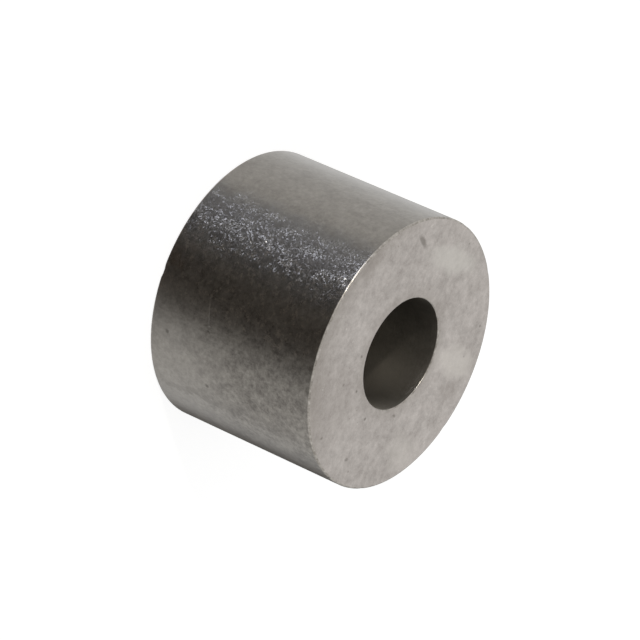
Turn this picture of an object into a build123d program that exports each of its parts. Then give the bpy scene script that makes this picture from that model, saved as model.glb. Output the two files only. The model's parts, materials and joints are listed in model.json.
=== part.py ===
from build123d import *
import os

# A plain round steel spacer, one piece with no joints: a short thick-walled sleeve that a
# bolt passes through. It is turned from round bar. The outside keeps the skin of the drawn
# bar, both ends are faced square, the hole is drilled right through, and a tumble in the
# barrel takes the sharpness off its four edges.
# It stands on one end. Z is the axis of the bore, and the origin is the middle of the end
# that it stands on.

# Driving dimensions in millimetres. Each one can be changed by itself.
outside_diameter = 22.225  # 7/8 in bar, not machined on the outside
length = 15.875  # 5/8 in, from faced end to faced end
bore_diameter = 9.128  # 23/64 in drill, which lets a 5/16 in bolt pass freely
rim_radius = 0.15  # round on the outer edge of each end
mouth_radius = 0.10  # round on the edge of the bore at each end


def wall_section():
    """Section of the wall on one side of the axis: bore at the left, bar skin at the right."""
    wall = (outside_diameter - bore_diameter) / 2
    with BuildSketch(Plane.XZ) as section:
        with Locations((bore_diameter / 2, 0)):
            Rectangle(wall, length, align=(Align.MIN, Align.MIN))
        rim_corners = section.vertices().group_by(Axis.X)[-1]
        fillet(rim_corners, radius=rim_radius)
        mouth_corners = section.vertices().group_by(Axis.X)[0]
        fillet(mouth_corners, radius=mouth_radius)
    return section.sketch


def spacer():
    """The turned piece: the wall's section taken once round the axis of the bore."""
    return revolve(wall_section(), axis=Axis.Z, revolution_arc=360)


os.makedirs("parts", exist_ok=True)
export_step(spacer(), "parts/spacer.step")
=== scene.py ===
import json
import math
import random

import bmesh
import bpy
from mathutils import Matrix, Vector


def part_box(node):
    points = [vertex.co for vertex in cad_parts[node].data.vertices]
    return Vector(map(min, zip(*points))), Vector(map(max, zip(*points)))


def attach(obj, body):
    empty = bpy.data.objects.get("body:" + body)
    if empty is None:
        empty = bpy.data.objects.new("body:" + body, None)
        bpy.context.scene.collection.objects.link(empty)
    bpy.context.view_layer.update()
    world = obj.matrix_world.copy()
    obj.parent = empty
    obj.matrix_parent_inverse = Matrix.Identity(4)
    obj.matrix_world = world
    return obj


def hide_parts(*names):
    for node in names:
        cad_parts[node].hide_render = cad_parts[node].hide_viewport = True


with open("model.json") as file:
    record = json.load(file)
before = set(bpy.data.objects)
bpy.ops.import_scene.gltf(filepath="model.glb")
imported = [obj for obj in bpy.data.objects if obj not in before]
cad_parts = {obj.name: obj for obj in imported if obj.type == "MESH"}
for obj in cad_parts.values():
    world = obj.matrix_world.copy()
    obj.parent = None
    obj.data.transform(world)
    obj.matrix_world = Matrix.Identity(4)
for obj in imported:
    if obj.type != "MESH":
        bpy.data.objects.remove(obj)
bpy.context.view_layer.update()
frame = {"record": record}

# The sleeve, as it leaves the lathe
# One short, thick-walled sleeve of mild steel, cut from cold-drawn round bar. Both ends are faced
# square, a hole is drilled right through, and a turn in the tumbling barrel has taken the
# sharpness off its four edges. It stands on one end, and nothing is fixed to it.

MM = 0.001  # metres in a millimetre

outer_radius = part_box("spacer")[1].x
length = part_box("spacer")[1].z
hole = next(m for m in frame["record"]["mounts"] if m["name"] == "bore")["dims"]
bore_radius = hole["r_mm"] * MM
mouth_round = (length - hole["length_mm"] * MM) / 2
rim_round = 0.15 * MM
wall = outer_radius - bore_radius
hold = 0.01 * MM  # a second corner this near each round keeps the flat beside it flat to the eye
rim_steps = 6
mouth_steps = 4
turn_steps = 400
outside_cuts = 31
hole_cuts = 23
face_cuts = 17
touching = 0.001 * MM  # corners nearer than this are one corner


def pick(kind, wanted, add=False):
    """Selects the VERTs, EDGEs or FACEs whose middle passes the test, and no others unless add."""
    bpy.ops.mesh.select_mode(type=kind)
    if not add:
        bpy.ops.mesh.select_all(action="DESELECT")
    shape = bmesh.from_edit_mesh(bpy.context.edit_object.data)
    parts = {"VERT": shape.verts, "EDGE": shape.edges, "FACE": shape.faces}[kind]
    for part in parts:
        if kind == "VERT":
            middle = part.co
        elif kind == "EDGE":
            middle = (part.verts[0].co + part.verts[1].co) / 2
        else:
            middle = part.calc_center_median()
        if wanted(middle):
            part.select_set(True)
    shape.select_flush_mode()
    bmesh.update_edit_mesh(bpy.context.edit_object.data)


bpy.ops.object.select_all(action="DESELECT")
bpy.ops.mesh.primitive_plane_add(
    size=1, location=(bore_radius + wall / 2, 0, length / 2), rotation=(math.pi / 2, 0, 0)
)
spacer = bpy.context.object
spacer.name = "spacer_body"
bpy.ops.transform.resize(value=(wall, 1, length))
bpy.ops.object.transform_apply(location=True, rotation=True, scale=True)

# The wall's section gets its rounded corners and even steps, and is turned about the bore's axis.
bpy.ops.object.mode_set(mode="EDIT")
pick("VERT", lambda p: p.x > outer_radius - touching)
bpy.ops.mesh.bevel(offset=rim_round, segments=rim_steps, affect="VERTICES")
pick("VERT", lambda p: p.x < bore_radius + touching)
bpy.ops.mesh.bevel(offset=mouth_round, segments=mouth_steps, affect="VERTICES")
pick("VERT", lambda p: abs(p.x - outer_radius) < touching or abs(p.x - bore_radius) < touching)
pick("VERT", lambda p: abs(p.z) < touching or abs(p.z - length) < touching, add=True)
bpy.ops.mesh.bevel(offset=hold, segments=1, affect="VERTICES")
bpy.ops.mesh.select_all(action="SELECT")
bpy.ops.mesh.delete(type="ONLY_FACE")
pick("EDGE", lambda p: p.x > outer_radius - touching and abs(p.z - length / 2) < length / 4)
bpy.ops.mesh.subdivide(number_cuts=outside_cuts)
pick("EDGE", lambda p: p.x < bore_radius + touching and abs(p.z - length / 2) < length / 4)
bpy.ops.mesh.subdivide(number_cuts=hole_cuts)
for end in (0, length):
    pick("EDGE", lambda p: abs(p.z - end) < touching and abs(p.x - bore_radius - wall / 2) < wall / 4)
    bpy.ops.mesh.subdivide(number_cuts=face_cuts)
bpy.ops.mesh.select_all(action="SELECT")
bpy.ops.mesh.spin(steps=turn_steps, angle=2 * math.pi, center=(0, 0, 0), axis=(0, 0, 1))
bpy.ops.mesh.select_all(action="SELECT")
bpy.ops.mesh.remove_doubles(threshold=touching)
bpy.ops.mesh.normals_make_consistent(inside=False)

# The knocks it has taken
# Loose in a bin with others like it, it has one gouge on the upper face, a nick in each rim, a
# fine scratch round the side and a row of small dings along the upper rim, all pressed inwards.


def spot(azimuth, radius, height):
    """A point by its angle round the axis, in degrees, its radius and its height, in millimetres."""
    turn = math.radians(azimuth)
    return Vector((radius * math.cos(turn), radius * math.sin(turn), height))


def gap(p, start, end):
    """How far a corner is from the line between two points that are given in millimetres."""
    along = end - start
    share = (p / MM - start).dot(along) / max(along.length_squared, 1e-6)
    return (p / MM - start - along * min(max(share, 0), 1)).length


def knock(start, end, line, reach, push):
    """Pushes the corners within line of start to end, and in part those in reach of them."""
    wide = (end - start).length / 2 + line
    middle = (start + end) / 2 * MM
    pick("VERT", lambda p: (p - middle).length < wide * MM and gap(p, start, end) < line)
    bpy.ops.transform.translate(
        value=push * MM,
        use_proportional_edit=True,
        proportional_edit_falloff="SMOOTH",
        proportional_size=reach * MM,
    )


top = length / MM
outside = outer_radius / MM
gouge = (spot(-153.8, 9.7, top), spot(-160.4, 8.8, top))
scratch = (spot(-81.6, outside, 4.92), spot(-66.7, outside, 5.67))
upper_nick = (spot(-171.3, outside, top), spot(-170.3, outside, top))
lower_nick = (spot(-83, outside, 0), spot(-81, outside, 0))
rim_band = 0.5

# The mesh is finer round the marks: each one's line, how far from it in millimetres, and the cuts.
for mark, near, cuts in ((gouge, 0.5, 3), (scratch, 0.4, 4)):
    pick("FACE", lambda p: gap(p, *mark) < near)
    bpy.ops.mesh.subdivide(number_cuts=cuts)
pick(
    "FACE",
    lambda p: math.hypot(p.x, p.y) > outer_radius - rim_band * MM and p.z > length - rim_band * MM,
)
bpy.ops.mesh.subdivide(number_cuts=1)

# Each mark's line, half its width, how far the steel beside it gives way, and the push.
for mark, line, reach, push in (
    (gouge, 0.06, 0.32, Vector((0, 0, -0.06))),
    (scratch, 0.05, 0.10, spot(-74, -0.02, 0)),
    (upper_nick, 0.12, 0.22, Vector((0.05, 0.01, -0.04))),
    (lower_nick, 0.10, 0.35, spot(-82, -0.04, 0.03)),
):
    knock(*mark, line, reach, push)

ding_count = 16
front_dings = 10  # the first ones, which lie between the front's two azimuths and go deeper
front = (-84, -6)
ding_sizes = (0.22, 0.5)
front_depths = (0.07, 0.13)  # as a share of the ding's size, as is the next one
other_depth = 0.05
ding_line = 0.11
ding_inset = 0.04
each_way = 0.7  # of the depth, inwards and downwards alike
dice = random.Random(5)
for ding in range(ding_count):
    in_front = ding < front_dings
    azimuth = dice.uniform(*front) if in_front else dice.uniform(-180, 180)
    size = dice.uniform(*ding_sizes)
    depth = size * (dice.uniform(*front_depths) if in_front else other_depth)
    place = spot(azimuth, outside - ding_inset, top - ding_inset)
    knock(place, place, ding_line, size, spot(azimuth, -each_way * depth, -each_way * depth))
bpy.ops.mesh.select_all(action="DESELECT")
bpy.ops.object.mode_set(mode="OBJECT")
bpy.ops.object.shade_smooth_by_angle(angle=math.radians(40))

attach(spacer, "root")
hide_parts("spacer")

# The outside, the skin of the cold-drawn bar
# Mild steel drawn through a die and then knocked about in the tumbling barrel with loose grit. One
# stripe along it is scuffed into small bright facets that sparkle, and the rest is smooth, mottled
# and faintly streaked along the bar, so it mirrors what is round it as soft bands.


def linear(sheet_hex):
    """An sRGB hex colour as the linear colour that Blender wants."""
    parts = [int(sheet_hex[i : i + 2], 16) / 255 for i in (1, 3, 5)]
    return [c / 12.92 if c <= 0.04045 else ((c + 0.055) / 1.055) ** 2.4 for c in parts] + [1]


def finish(name):
    """An empty material of that name."""
    material = bpy.data.materials.new(name)
    material.use_nodes = True
    material.node_tree.nodes.clear()
    return material


def put(material, kind, inputs, **settings):
    """Adds one node. inputs gives each socket a value, a node's main output or another output."""
    node = material.node_tree.nodes.new(kind)
    for name, value in settings.items():
        setattr(node, name, value)
    for socket, value in inputs.items():
        if isinstance(value, bpy.types.Node):
            value = next(output for output in value.outputs if output.enabled)
        if isinstance(value, bpy.types.NodeSocket):
            material.node_tree.links.new(value, node.inputs[socket])
        else:
            node.inputs[socket].default_value = value
    return node


def in_millimetres(material):
    """A point of the piece, in its own frame, in millimetres."""
    place = put(material, "ShaderNodeTexCoord", {}).outputs["Object"]
    return put(material, "ShaderNodeMapping", {"Vector": place, "Scale": (1 / MM, 1 / MM, 1 / MM)})


def uneven(material, place, size, amount):
    """The same place, moved about by up to amount, so that a pattern on it gets a ragged edge."""
    waves = put(material, "ShaderNodeTexNoise", {"Vector": place, "Scale": 1 / size, "Detail": 3.0})
    away = put(
        material,
        "ShaderNodeVectorMath",
        {0: waves.outputs["Color"], 1: (0.5, 0.5, 0.5)},
        operation="SUBTRACT",
    )
    spread = (2 * amount, 2 * amount, 2 * amount)
    return put(material, "ShaderNodeVectorMath", {0: away, 1: spread, 2: place}, operation="MULTIPLY_ADD")


def cloudy(material, place, size, detail, roughness):
    """A cloudy pattern, from about -1 to 1, whose largest clouds are size across."""
    clouds = put(
        material,
        "ShaderNodeTexNoise",
        {"Vector": place, "Scale": 1 / size, "Detail": detail, "Roughness": roughness},
    )
    spread = {"Value": clouds, "From Min": 0.3, "From Max": 0.7, "To Min": -1.0, "To Max": 1.0}
    return put(material, "ShaderNodeMapRange", spread, clamp=False)


def patch(material, place, centre, reach, turn, inner):
    """1 in the middle of an oval patch, inside the share inner of its three reaches, and 0 outside it."""
    turned = tuple(math.radians(t) for t in turn)
    oval = put(
        material,
        "ShaderNodeMapping",
        {"Vector": place, "Location": centre, "Rotation": turned, "Scale": reach},
        vector_type="TEXTURE",
    )
    away = put(material, "ShaderNodeVectorMath", {0: oval}, operation="LENGTH")
    fade = {"Value": away, "From Min": inner, "From Max": 1.0, "To Min": 1.0, "To Max": 0.0}
    return put(material, "ShaderNodeMapRange", fade, interpolation_type="SMOOTHSTEP")


def specks(material, place, spacing, largest, share):
    """1 in small specks up to largest across, in that share of the cells of a loose grid."""
    cells = put(material, "ShaderNodeTexVoronoi", {"Vector": place, "Scale": 1 / spacing})
    draw = put(material, "ShaderNodeSeparateColor", {0: cells.outputs["Color"]}).outputs["Red"]
    half = largest / 2 / spacing
    size = put(
        material,
        "ShaderNodeMapRange",
        {"Value": draw, "From Min": 1 - share, "From Max": 1.0, "To Min": 0.0, "To Max": half},
    )
    short = put(material, "ShaderNodeMath", {0: size, 1: cells.outputs["Distance"]}, operation="SUBTRACT")
    return put(material, "ShaderNodeMapRange", {"Value": short, "From Min": 0.0, "From Max": half / 2})


def stain(material, colour, share, strength, tint):
    """The colour with a tint laid over it, as strong as strength where share is 1."""
    amount = put(material, "ShaderNodeMath", {0: share, 1: strength}, operation="MULTIPLY")
    return put(material, "ShaderNodeMix", {0: amount, 6: colour, 7: linear(tint)}, data_type="RGBA")


def leaning(material, normal, lean, sideways, upright):
    """normal, tipped by lean times the two amounts."""
    tipped = put(
        material,
        "ShaderNodeVectorMath",
        {0: lean, 1: (sideways, sideways, upright), 2: normal},
        operation="MULTIPLY_ADD",
    )
    return put(material, "ShaderNodeVectorMath", {0: tipped}, operation="NORMALIZE")


# Where the scuffed stripe runs, and how scuffed the rest is. Lengths in a pattern are millimetres.
scuff_azimuth = -109.5
scuff_across = 4.0
scuff_inner = 0.45
scuff_least = 0.16
# The stripe's darker, cooler grey is partly the scuffs' own and partly a painted cool reflection.
scuff_and_reflection_tint = "#4E5156"
scuff_and_reflection_strength = 0.38
edge_waves = 1.3
edge_sway = 1.3
through = 6  # a reach that takes a patch through the skin
endless = 60  # a reach that takes it past both ends

# The grain and the grit's facets are finer on the real bar, and are drawn this coarse to show.
grain_size = 0.3
grain_height = 0.010 * MM
flake_size = 0.10

# How far a facet leans: its bright top by the first two, and the metal under it by the next two.
flake_swing = 0.50
flake_tilt = 1.1
base_swing = 0.16
base_upright = 0.22
flake_rough = 0.17
flake_ior = 1.5
cluster_size = 0.9
cluster_length = 2.5
cluster_least = 0.30
cluster_most = 0.95

skin_dark = "#6A6661"
skin_light = "#97938C"
skin_rough = 0.28
cloud_size = 1.3
mottle_size = 0.35
mottle_share = 0.60
streak_width = 0.5
streak_length = 8
streak_share = 0.05
calm_from = -8.0  # the clouds grow from calm_least at this x to their full strength at the next
calm_to = 4.0
calm_least = 0.40
# Pale flecks painted as glints, in a stripe beside the scuffed one.
glint_azimuth = -88
glint_across = 5.0
glint_size = 0.5
glint_strength = 0.6
glint_tint = "#B8B0A4"

# Stains and painted reflections: azimuth, height, reach round the side and upwards, tilt, strength
# and tint. They are a wide pale stretch of painted reflection towards the lower end, a soft dark line
# along the side, a brown touch at the lower rim and a dark patch of painted reflection in the upper
# half, and then two dark spots and the bright steel of the scratch.
broad_stains_and_reflections = (
    # Painted paler reflection towards the lower end
    (-45, 0.0, 10.0, 10.0, 0.0, 0.45, "#A5A19B"),
    (-35.7, 8.0, 0.55, 14.0, 2.45, 0.30, "#5E5A54"),
    (-90, 0.9, 1.0, 1.4, 0.0, 0.30, "#6B5644"),
    # Painted dark reflection in the upper half
    (-9, 10.0, 1.8, 6.0, 0.0, 0.30, "#4A4640"),
)
small_stains = (
    (-59.4, 1.66, 0.20, 0.24, 0.0, 0.50, "#3A3630"),
    (-42.0, 5.65, 0.22, 0.24, 0.0, 0.50, "#3A3630"),
    (-74.1, 5.30, 1.50, 0.09, 14.5, 0.60, "#BDB9B2"),
)
small_waves = 0.3
small_sway = 0.08
stain_inner = 0.3

skin = finish("drawn_mild_steel")
place = in_millimetres(skin)
ragged = uneven(skin, place, edge_waves, edge_sway)

# The scuffed stripe, and the lean of each of its facets
scuffed = patch(
    skin,
    ragged,
    spot(scuff_azimuth, outside, top / 2),
    (through, scuff_across, endless),
    (0, 0, scuff_azimuth),
    scuff_inner,
)
roughed = put(skin, "ShaderNodeMapRange", {"Value": scuffed, "To Min": scuff_least, "To Max": 1.0})
grain = put(skin, "ShaderNodeTexNoise", {"Vector": place, "Scale": 1 / grain_size, "Detail": 2.0})
relief = put(skin, "ShaderNodeBump", {"Strength": 1.0, "Distance": grain_height, "Height": grain})
flakes = put(skin, "ShaderNodeTexVoronoi", {"Vector": place, "Scale": 1 / flake_size})
lean = put(
    skin, "ShaderNodeVectorMath", {0: flakes.outputs["Color"], 1: (0.5, 0.5, 0.5)}, operation="SUBTRACT"
)
along = put(skin, "ShaderNodeMapping", {"Vector": place, "Scale": (1, 1, 1 / cluster_length)})
clusters = put(
    skin,
    "ShaderNodeMapRange",
    {
        "Value": cloudy(skin, along, cluster_size, detail=3.0, roughness=0.7),
        "From Min": -0.6,
        "From Max": 0.6,
        "To Min": cluster_least,
        "To Max": cluster_most,
    },
)
clusters = put(skin, "ShaderNodeMath", {0: clusters, 1: roughed}, operation="MULTIPLY")
lean = put(skin, "ShaderNodeVectorMath", {0: lean, "Scale": clusters}, operation="SCALE")

# The mottle and the streaks of the drawing, which are calmer towards one side
sideways = put(skin, "ShaderNodeSeparateXYZ", {0: place}).outputs["X"]
calm = put(
    skin,
    "ShaderNodeMapRange",
    {"Value": sideways, "From Min": calm_from, "From Max": calm_to, "To Min": calm_least, "To Max": 1.0},
)
clouds = cloudy(skin, place, cloud_size, detail=4.0, roughness=0.8)
mottle = cloudy(skin, place, mottle_size, detail=2.0, roughness=0.7)
clouds = put(skin, "ShaderNodeMath", {0: mottle, 1: mottle_share, 2: clouds}, operation="MULTIPLY_ADD")
clouds = put(skin, "ShaderNodeMath", {0: clouds, 1: calm}, operation="MULTIPLY")
streak_scale = (1 / streak_width, 1 / streak_width, 1 / streak_length)
drawn = put(skin, "ShaderNodeMapping", {"Vector": place, "Scale": streak_scale})
streaks = cloudy(skin, drawn, 1.0, detail=3.0, roughness=0.6)
share = put(skin, "ShaderNodeMath", {0: clouds, 1: 0.5, 2: 0.5}, operation="MULTIPLY_ADD")
share = put(skin, "ShaderNodeMath", {0: streaks, 1: streak_share, 2: share}, operation="MULTIPLY_ADD")
colour = put(
    skin, "ShaderNodeMix", {0: share, 6: linear(skin_dark), 7: linear(skin_light)}, data_type="RGBA"
)

# The grey of the scuffs, with a painted cool reflection in it, pale flecks painted as glints beside
# them, and the stains, two of them painted reflection
colour = stain(skin, colour, scuffed, scuff_and_reflection_strength, scuff_and_reflection_tint)
# Painted glints: pale flecks in a stripe beside the scuffs
glint_stripe = patch(
    skin,
    ragged,
    spot(glint_azimuth, outside, top / 2),
    (through, glint_across, endless),
    (0, 0, glint_azimuth),
    scuff_inner,
)
painted_glints = cloudy(skin, place, glint_size, detail=3.0, roughness=0.9)
painted_glints = put(skin, "ShaderNodeMapRange", {"Value": painted_glints, "From Min": 0.1, "From Max": 0.9})
painted_glints = put(skin, "ShaderNodeMath", {0: painted_glints, 1: glint_stripe}, operation="MULTIPLY")
colour = stain(skin, colour, painted_glints, glint_strength, glint_tint)
for marks, base in ((broad_stains_and_reflections, ragged), (small_stains, uneven(skin, place, small_waves, small_sway))):
    for azimuth, height, around, upwards, tilt, strength, tint in marks:
        middle = spot(azimuth, outside, height)
        spread = patch(
            skin, base, middle, (around + 1, around, upwards), (tilt, 0, azimuth), stain_inner
        )
        colour = stain(skin, colour, spread, strength, tint)
steel = put(
    skin,
    "ShaderNodeBsdfPrincipled",
    {
        "Base Color": colour,
        "Metallic": 1.0,
        "Roughness": skin_rough,
        "Normal": leaning(skin, relief, lean, base_swing, base_upright),
        "Coat Weight": clusters,
        "Coat Roughness": flake_rough,
        "Coat IOR": flake_ior,
        "Coat Normal": leaning(skin, relief, lean, flake_swing, flake_tilt),
    },
)
put(skin, "ShaderNodeOutputMaterial", {"Surface": steel})

# The two ends, faced on the lathe
# The same steel, faced square and then rubbed dull and blotchy in the barrel, so it gives back a
# broad pale grey with small pits and glints, paler patches of painted reflection, painted shade
# towards the rim on the -y side, and a darker border at the mouth where it was handled.

face_dark = "#98928D"
face_light = "#C2BCB7"
face_rough = 0.45
face_mottle = 0.9
face_mottle_share = 0.40
face_patches = 3.5
face_patch_share = 0.12
face_grain = 0.2  # coarser than the real one, to show
face_grain_height = 0.006 * MM
face_waves = 1.0
face_sway = 0.8
lip_sway = 0.2
# Painted shade: the end darkens outside a round middle set towards +y, so towards the rim on the -y side.
# The same tint gives the darker border at the mouth, where it was handled.
unshaded_middle = (0, 4)
unshaded_reach = 15.5
unshaded_inner = 0.78
shade_and_handled_tint = "#7C756C"
painted_rim_shade_strength = 0.40
lip_reach = 5.9
lip_strength = 0.28
stain_depth = 1.5
dot_waves = 0.25
dot_sway = 0.1

# Stains and painted light: x, y, reach across and along, turn, strength and tint. The first three
# are painted pale reflections and the fourth is painted shade towards the rim on the -y side. The
# last speck is painted shade in the gouge.
face_stains_and_painted_light = (
    # Painted pale reflections
    (-8.2, 1.3, 1.5, 4.8, 6.0, 0.50, "#C9C6BF"),
    (-1.1, 7.8, 1.7, 4.2, 0.0, 0.55, "#CCC7C0"),
    (7.2, 6.0, 2.0, 3.6, -16.0, 0.35, "#C6C1BA"),
    # Painted shade towards the rim on the -y side
    (5.8, -6.9, 5.2, 5.2, 0.0, 0.24, "#857D76"),
    (-5.2, -8.9, 1.0, 1.9, 60.0, 0.30, "#857D76"),
    (5.9, -8.4, 1.0, 2.2, -55.0, 0.20, "#857D76"),
    (1.2, 8.6, 1.0, 1.9, 0.0, 0.25, "#857D76"),
    (-4.6, 2.8, 0.9, 1.6, 30.0, 0.15, "#857D76"),
    (-6.9, 6.1, 1.1, 1.3, 0.0, 0.15, "#857D76"),
)
face_specks = (
    (1.4, -5.1, 0.16, 0.20, 0.0, 0.6, "#6A655E"),
    (4.0, -3.75, 0.18, 0.16, 0.0, 0.7, "#6A655E"),
    (5.7, -1.0, 0.20, 0.18, 0.0, 0.7, "#6A655E"),
    (3.9, -5.8, 0.22, 0.16, 0.0, 0.5, "#6A655E"),
    (4.6, 2.7, 0.16, 0.28, 0.0, 0.6, "#6A655E"),
    (8.3, -5.6, 0.16, 0.20, 0.0, 0.6, "#6A655E"),
    (9.1, -1.1, 0.22, 0.34, 20.0, 0.5, "#6A655E"),
    (-4.5, 9.1, 0.18, 0.22, 0.0, 0.5, "#6A655E"),
    # Painted shade in the gouge
    (-8.48, -3.60, 0.36, 1.15, -21.6, 0.65, "#6F6A63"),
)

# Glints, and then pits: spacing, largest size, share of the places that have one, strength and tint
face_dots = (
    (0.7, 0.25, 0.4, 0.30, "#DAD6CF"),
    (0.9, 0.30, 0.5, 0.45, "#6E6860"),
)

faced = finish("faced_mild_steel")
place = in_millimetres(faced)
ragged = uneven(faced, place, face_waves, face_sway)
mottle = cloudy(faced, place, face_mottle, detail=4.0, roughness=0.95)
share = put(faced, "ShaderNodeMath", {0: mottle, 1: face_mottle_share, 2: 0.5}, operation="MULTIPLY_ADD")
patches = cloudy(faced, place, face_patches, detail=2.0, roughness=0.5)
share = put(faced, "ShaderNodeMath", {0: patches, 1: face_patch_share, 2: share}, operation="MULTIPLY_ADD")
colour = put(
    faced, "ShaderNodeMix", {0: share, 6: linear(face_dark), 7: linear(face_light)}, data_type="RGBA"
)
# Painted shade towards the rim on the -y side
unshaded = patch(
    faced,
    place,
    Vector((*unshaded_middle, top)),
    (unshaded_reach, unshaded_reach, endless),
    (0, 0, 0),
    unshaded_inner,
)
painted_rim_shade = put(faced, "ShaderNodeMath", {0: 1.0, 1: unshaded}, operation="SUBTRACT")
colour = stain(faced, colour, painted_rim_shade, painted_rim_shade_strength, shade_and_handled_tint)
lip = patch(
    faced,
    uneven(faced, place, face_waves, lip_sway),
    Vector((0, 0, top)),
    (lip_reach, lip_reach, endless),
    (0, 0, 0),
    bore_radius / MM / lip_reach,
)
colour = stain(faced, colour, lip, lip_strength, shade_and_handled_tint)
for marks, base in ((face_stains_and_painted_light, ragged), (face_specks, uneven(faced, place, small_waves, small_sway))):
    for x, y, across, along, turn, strength, tint in marks:
        middle = Vector((x, y, top))
        spread = patch(faced, base, middle, (across, along, stain_depth), (0, 0, turn), stain_inner)
        colour = stain(faced, colour, spread, strength, tint)
dotted = uneven(faced, place, dot_waves, dot_sway)
for spacing, largest, some, strength, tint in face_dots:
    dots = specks(faced, dotted, spacing, largest, some)
    colour = stain(faced, colour, dots, strength, tint)
grain = put(faced, "ShaderNodeTexNoise", {"Vector": place, "Scale": 1 / face_grain, "Detail": 2.0})
relief = put(faced, "ShaderNodeBump", {"Strength": 1.0, "Distance": face_grain_height, "Height": grain})
steel = put(
    faced,
    "ShaderNodeBsdfPrincipled",
    {"Base Color": colour, "Metallic": 1.0, "Roughness": face_rough, "Normal": relief},
)
put(faced, "ShaderNodeOutputMaterial", {"Surface": steel})

# The drilled hole
# The same steel, drilled right through with a twist drill and left as it was, so it is dull and
# warm, with fine rings from the drill's lips and a few bright specks. Its wall has painted light in
# two paler places and painted shade in one darker place.

bore_dark = "#736E66"
bore_light = "#8A857C"
bore_rough = 0.5
bore_cloud = 1.6
ring_width = 2.5
ring_step = 0.15  # a coarser feed than the real one, to show
ring_height = 0.012 * MM
bright_spacing = 0.9
bright_size = 0.16
bright_share = 0.3
bright_strength = 0.6
bright_tint = "#D0CCC4"

# Painted light and shade: azimuth, height above the upper end, reach round the wall and upwards,
# strength and tint
bore_painted_light_and_shade = (
    # Painted light
    (12, 0.0, 3.5, 3.2, 0.75, "#BDB8AF"),
    # Painted shade
    (145, 0.0, 3.5, 8.0, 0.40, "#4E4A44"),
    # Painted light
    (58, -4.2, 4.6, 4.4, 0.60, "#B8B2A8"),
)
painted_patch_inner = 0.2

drilled = finish("drilled_mild_steel")
place = in_millimetres(drilled)
clouds = cloudy(drilled, place, bore_cloud, detail=4.0, roughness=0.9)
share = put(drilled, "ShaderNodeMath", {0: clouds, 1: 0.5, 2: 0.5}, operation="MULTIPLY_ADD")
colour = put(
    drilled, "ShaderNodeMix", {0: share, 6: linear(bore_dark), 7: linear(bore_light)}, data_type="RGBA"
)
# Two paler places of painted light and one darker place of painted shade
for azimuth, height, around, upwards, strength, tint in bore_painted_light_and_shade:
    middle = spot(azimuth, bore_radius / MM, top + height)
    spread = patch(drilled, place, middle, (around, around, upwards), (0, 0, azimuth), painted_patch_inner)
    colour = stain(drilled, colour, spread, strength, tint)
bright = specks(drilled, place, bright_spacing, bright_size, bright_share)
colour = stain(drilled, colour, bright, bright_strength, bright_tint)
ring_scale = (1 / ring_width, 1 / ring_width, 1 / ring_step)
rings = put(drilled, "ShaderNodeMapping", {"Vector": place, "Scale": ring_scale})
rings = put(drilled, "ShaderNodeTexNoise", {"Vector": rings, "Scale": 1.0, "Detail": 2.0})
relief = put(drilled, "ShaderNodeBump", {"Strength": 1.0, "Distance": ring_height, "Height": rings})
steel = put(
    drilled,
    "ShaderNodeBsdfPrincipled",
    {"Base Color": colour, "Metallic": 1.0, "Roughness": bore_rough, "Normal": relief},
)
put(drilled, "ShaderNodeOutputMaterial", {"Surface": steel})

# The four edges, rubbed in the barrel
# The sharp corners of the steel, rubbed round by the other pieces, so they are smoother than the
# ends and catch the light as thin bright lines, brighter in some stretches than in others.

edge_dark = "#7F7A73"
edge_light = "#AFAAA3"
edge_rough = 0.3
stretch_size = 0.4

worn = finish("tumbled_mild_steel")
place = in_millimetres(worn)
rubbed = cloudy(worn, place, stretch_size, detail=2.0, roughness=0.7)
share = put(worn, "ShaderNodeMath", {0: rubbed, 1: 0.5, 2: 0.5}, operation="MULTIPLY_ADD")
colour = put(
    worn, "ShaderNodeMix", {0: share, 6: linear(edge_dark), 7: linear(edge_light)}, data_type="RGBA"
)
steel = put(
    worn,
    "ShaderNodeBsdfPrincipled",
    {"Base Color": colour, "Metallic": 1.0, "Roughness": edge_rough},
)
put(worn, "ShaderNodeOutputMaterial", {"Surface": steel})

# Each face of the mesh gets the finish of its place: the skin's, unless it is one of the others.
metals = [skin, faced, drilled, worn]
for metal in metals:
    spacer.data.materials.append(metal)
for face in spacer.data.polygons:
    across = math.hypot(face.center.x, face.center.y)
    depth = min(face.center.z, length - face.center.z)
    if bore_radius + mouth_round < across < outer_radius - rim_round and depth < rim_round:
        face.material_index = metals.index(faced)
    elif across < bore_radius + mouth_round and depth > mouth_round:
        face.material_index = metals.index(drilled)
    elif depth < rim_round:
        face.material_index = metals.index(worn)

# The floor, a sheet of white card
# A wide sheet of matt white card that the sleeve stands on. It glows evenly, so that it shows
# white to the camera, and it keeps the sleeve's shadow. The metal mirrors the tent instead of it.

floor_size = 3.0  # metres
floor_grey = "#A0A0A0"
floor_glow = 0.80
floor_rough = 0.9

bpy.ops.object.select_all(action="DESELECT")
bpy.ops.mesh.primitive_plane_add(size=floor_size, location=(0, 0, 0))
floor = bpy.context.object
floor.name = "floor"
floor.visible_glossy = False
white_card = finish("white_card")
rays = put(white_card, "ShaderNodeLightPath", {})
seen = rays.outputs["Is Camera Ray"]
for kind in ("Is Glossy Ray", "Is Transmission Ray"):
    seen = put(white_card, "ShaderNodeMath", {0: seen, 1: rays.outputs[kind]}, operation="MAXIMUM")
glow = put(white_card, "ShaderNodeMath", {0: seen, 1: floor_glow}, operation="MULTIPLY")
card = put(
    white_card,
    "ShaderNodeBsdfPrincipled",
    {
        "Base Color": linear(floor_grey),
        "Roughness": floor_rough,
        "Emission Color": (1, 1, 1, 1),
        "Emission Strength": glow,
    },
)
put(white_card, "ShaderNodeOutputMaterial", {"Surface": card})
floor.data.materials.append(white_card)

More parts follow.
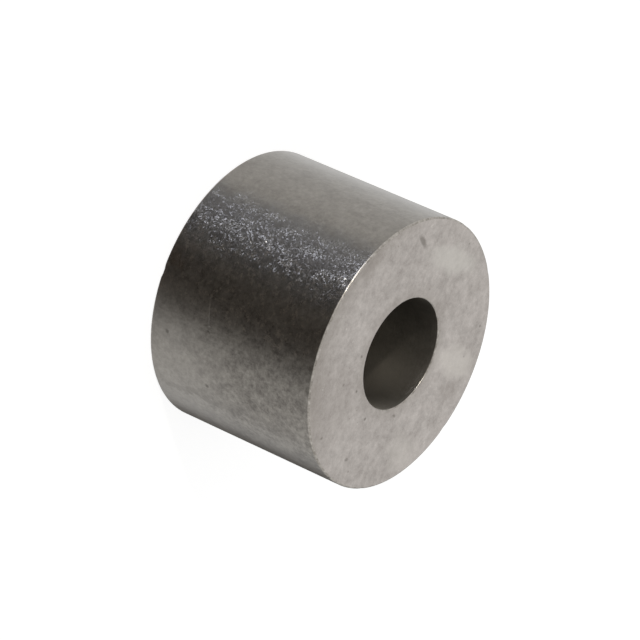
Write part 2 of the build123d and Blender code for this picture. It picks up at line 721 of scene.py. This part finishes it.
# The white tent round the table
# A tent of white cloth, open low down to a dark room on some sides, with one narrow strip lamp
# inside it. The metal mirrors all three. The camera sees only white, and the cloth's light is soft.

# The opening, round the table: the azimuth, and the share of the dark room that shows there
opening = (
    (-174, 0.0),
    (-160, 0.25),
    (-150, 0.60),
    (-138, 0.82),
    (-120, 0.87),
    (-104, 0.89),
    (-90, 0.94),
    (-64, 0.95),
    (-50, 0.84),
    (-36, 0.50),
    (-18, 0.22),
    (30, 0.15),
    (46, 0.35),
    (60, 0.80),
    (74, 0.95),
    (90, 0.95),
    (108, 0.06),
    (124, 0.0),
)
opening_low = math.radians(-12)
opening_high = math.radians(8)
dark_room = "#3A3128"
strip_azimuth = math.radians(-131.5)
strip_inner = math.radians(4)
strip_outer = math.radians(12)
strip_foot = math.radians(-26)
strip_body = math.radians(-14)
strip_top = math.radians(4)
strip_end = math.radians(12)
strip_colour = "#EDF1FF"
strip_strength = 8.5
cloth_light = 0.6  # what the cloth gives to dull surfaces, where the camera sees 1

studio = bpy.data.worlds.new("white_tent")
bpy.context.scene.world = studio
studio.use_nodes = True
studio.node_tree.nodes.clear()
towards = put(studio, "ShaderNodeTexCoord", {}).outputs["Generated"]
axes = put(studio, "ShaderNodeSeparateXYZ", {0: towards})
height = axes.outputs["Z"]  # the sine of the angle above the table
around = put(studio, "ShaderNodeMath", {0: axes.outputs["Y"], 1: axes.outputs["X"]}, operation="ARCTAN2")
turn = put(studio, "ShaderNodeMapRange", {"Value": around, "From Min": -math.pi, "From Max": math.pi})
shade = put(studio, "ShaderNodeValToRGB", {"Fac": turn})

# A new ramp comes with a stop at each end, and neither is kept.
ramp = shade.color_ramp
ramp.elements.remove(ramp.elements[0])
for azimuth, dark in opening:
    stop = ramp.elements.new((azimuth + 180) / 360)
    stop.color = (dark, dark, dark, 1)
ramp.elements.remove(ramp.elements[-1])
below = put(
    studio,
    "ShaderNodeMapRange",
    {
        "Value": height,
        "From Min": math.sin(opening_low),
        "From Max": math.sin(opening_high),
        "To Min": 1.0,
        "To Max": 0.0,
    },
    interpolation_type="SMOOTHSTEP",
)
open_share = put(studio, "ShaderNodeMath", {0: shade, 1: below}, operation="MULTIPLY")
cloth = put(
    studio,
    "ShaderNodeMix",
    {0: open_share, 6: (1, 1, 1, 1), 7: linear(dark_room)},
    data_type="RGBA",
)

# The strip fades out on both sides, at its foot and at its top.
aside = put(studio, "ShaderNodeMath", {0: around, 1: strip_azimuth}, operation="SUBTRACT")
aside = put(studio, "ShaderNodeMath", {0: aside}, operation="ABSOLUTE")
lit = strip_strength
for value, start, end, at_start, at_end in (
    (aside, strip_inner, strip_outer, 1.0, 0.0),
    (height, math.sin(strip_foot), math.sin(strip_body), 0.0, 1.0),
    (height, math.sin(strip_top), math.sin(strip_end), 1.0, 0.0),
):
    fade = put(
        studio,
        "ShaderNodeMapRange",
        {"Value": value, "From Min": start, "From Max": end, "To Min": at_start, "To Max": at_end},
        interpolation_type="SMOOTHSTEP",
    )
    lit = put(studio, "ShaderNodeMath", {0: fade, 1: lit}, operation="MULTIPLY")
strip = put(studio, "ShaderNodeVectorMath", {0: linear(strip_colour)[:3], "Scale": lit}, operation="SCALE")
mirrored = put(studio, "ShaderNodeVectorMath", {0: cloth, 1: strip}, operation="ADD")

# Mirrored rays and those through glass see the tent as it is, and all others see plain white.
rays = put(studio, "ShaderNodeLightPath", {})
shiny = put(
    studio,
    "ShaderNodeMath",
    {0: rays.outputs["Is Glossy Ray"], 1: rays.outputs["Is Transmission Ray"]},
    operation="MAXIMUM",
)
plain = put(
    studio,
    "ShaderNodeMapRange",
    {"Value": rays.outputs["Is Camera Ray"], "To Min": cloth_light, "To Max": 1.0},
)
light = put(studio, "ShaderNodeMix", {0: shiny, 6: plain, 7: mirrored}, data_type="RGBA")
tent = put(studio, "ShaderNodeBackground", {"Color": light, "Strength": 1.0})
put(studio, "ShaderNodeOutputWorld", {"Surface": tent})

# The key lamp
# One small warm lamp beyond the cloth, on the camera's side of the table and rather low. It lights
# the near rim and the far wall of the hole, and leaves the rest to the tent.

key_energy = 0.75
key_colour = "#FFF8EC"
key_angle = math.radians(3)
key_azimuth = math.radians(235)
key_height = math.radians(25)

key = bpy.data.lights.new("key", "SUN")
key.energy = key_energy
key.angle = key_angle
key.color = linear(key_colour)[:3]
lamp = bpy.data.objects.new("key", key)
bpy.context.scene.collection.objects.link(lamp)
level = math.cos(key_height)
towards = Vector((math.cos(key_azimuth) * level, math.sin(key_azimuth) * level, math.sin(key_height)))
lamp.rotation_mode = "QUATERNION"
lamp.rotation_quaternion = towards.to_track_quat("Z", "Y")

# The camera
# It stands where the photograph's camera stood, about a third of a metre away, and is turned on
# its own axis, so that the standing sleeve seems to lie on its side in the picture.

sight_to_axis = math.radians(57.3916)
roll = math.radians(90 + 23.8961)
sight_distance = 339.02 * MM
right_of_middle = 6.2347 * MM
below_middle = 2.6064 * MM
sensor_width = 36  # in millimetres, as is the focal length
focal_length = 248.69
nearest = 0.01  # metres

lens = bpy.data.cameras.new("photo_camera")
lens.sensor_width = sensor_width
lens.lens = focal_length
lens.clip_start = nearest
camera = bpy.data.objects.new("photo_camera", lens)
bpy.context.scene.collection.objects.link(camera)
turned = Matrix.Rotation(sight_to_axis, 4, "X") @ Matrix.Rotation(roll, 4, "Z")
offset = turned @ Vector((right_of_middle, -below_middle, -sight_distance))
camera.matrix_world = Matrix.Translation(Vector((0, 0, length)) - offset) @ turned
bpy.context.scene.camera = camera

bpy.context.scene.view_settings.view_transform = "Standard"
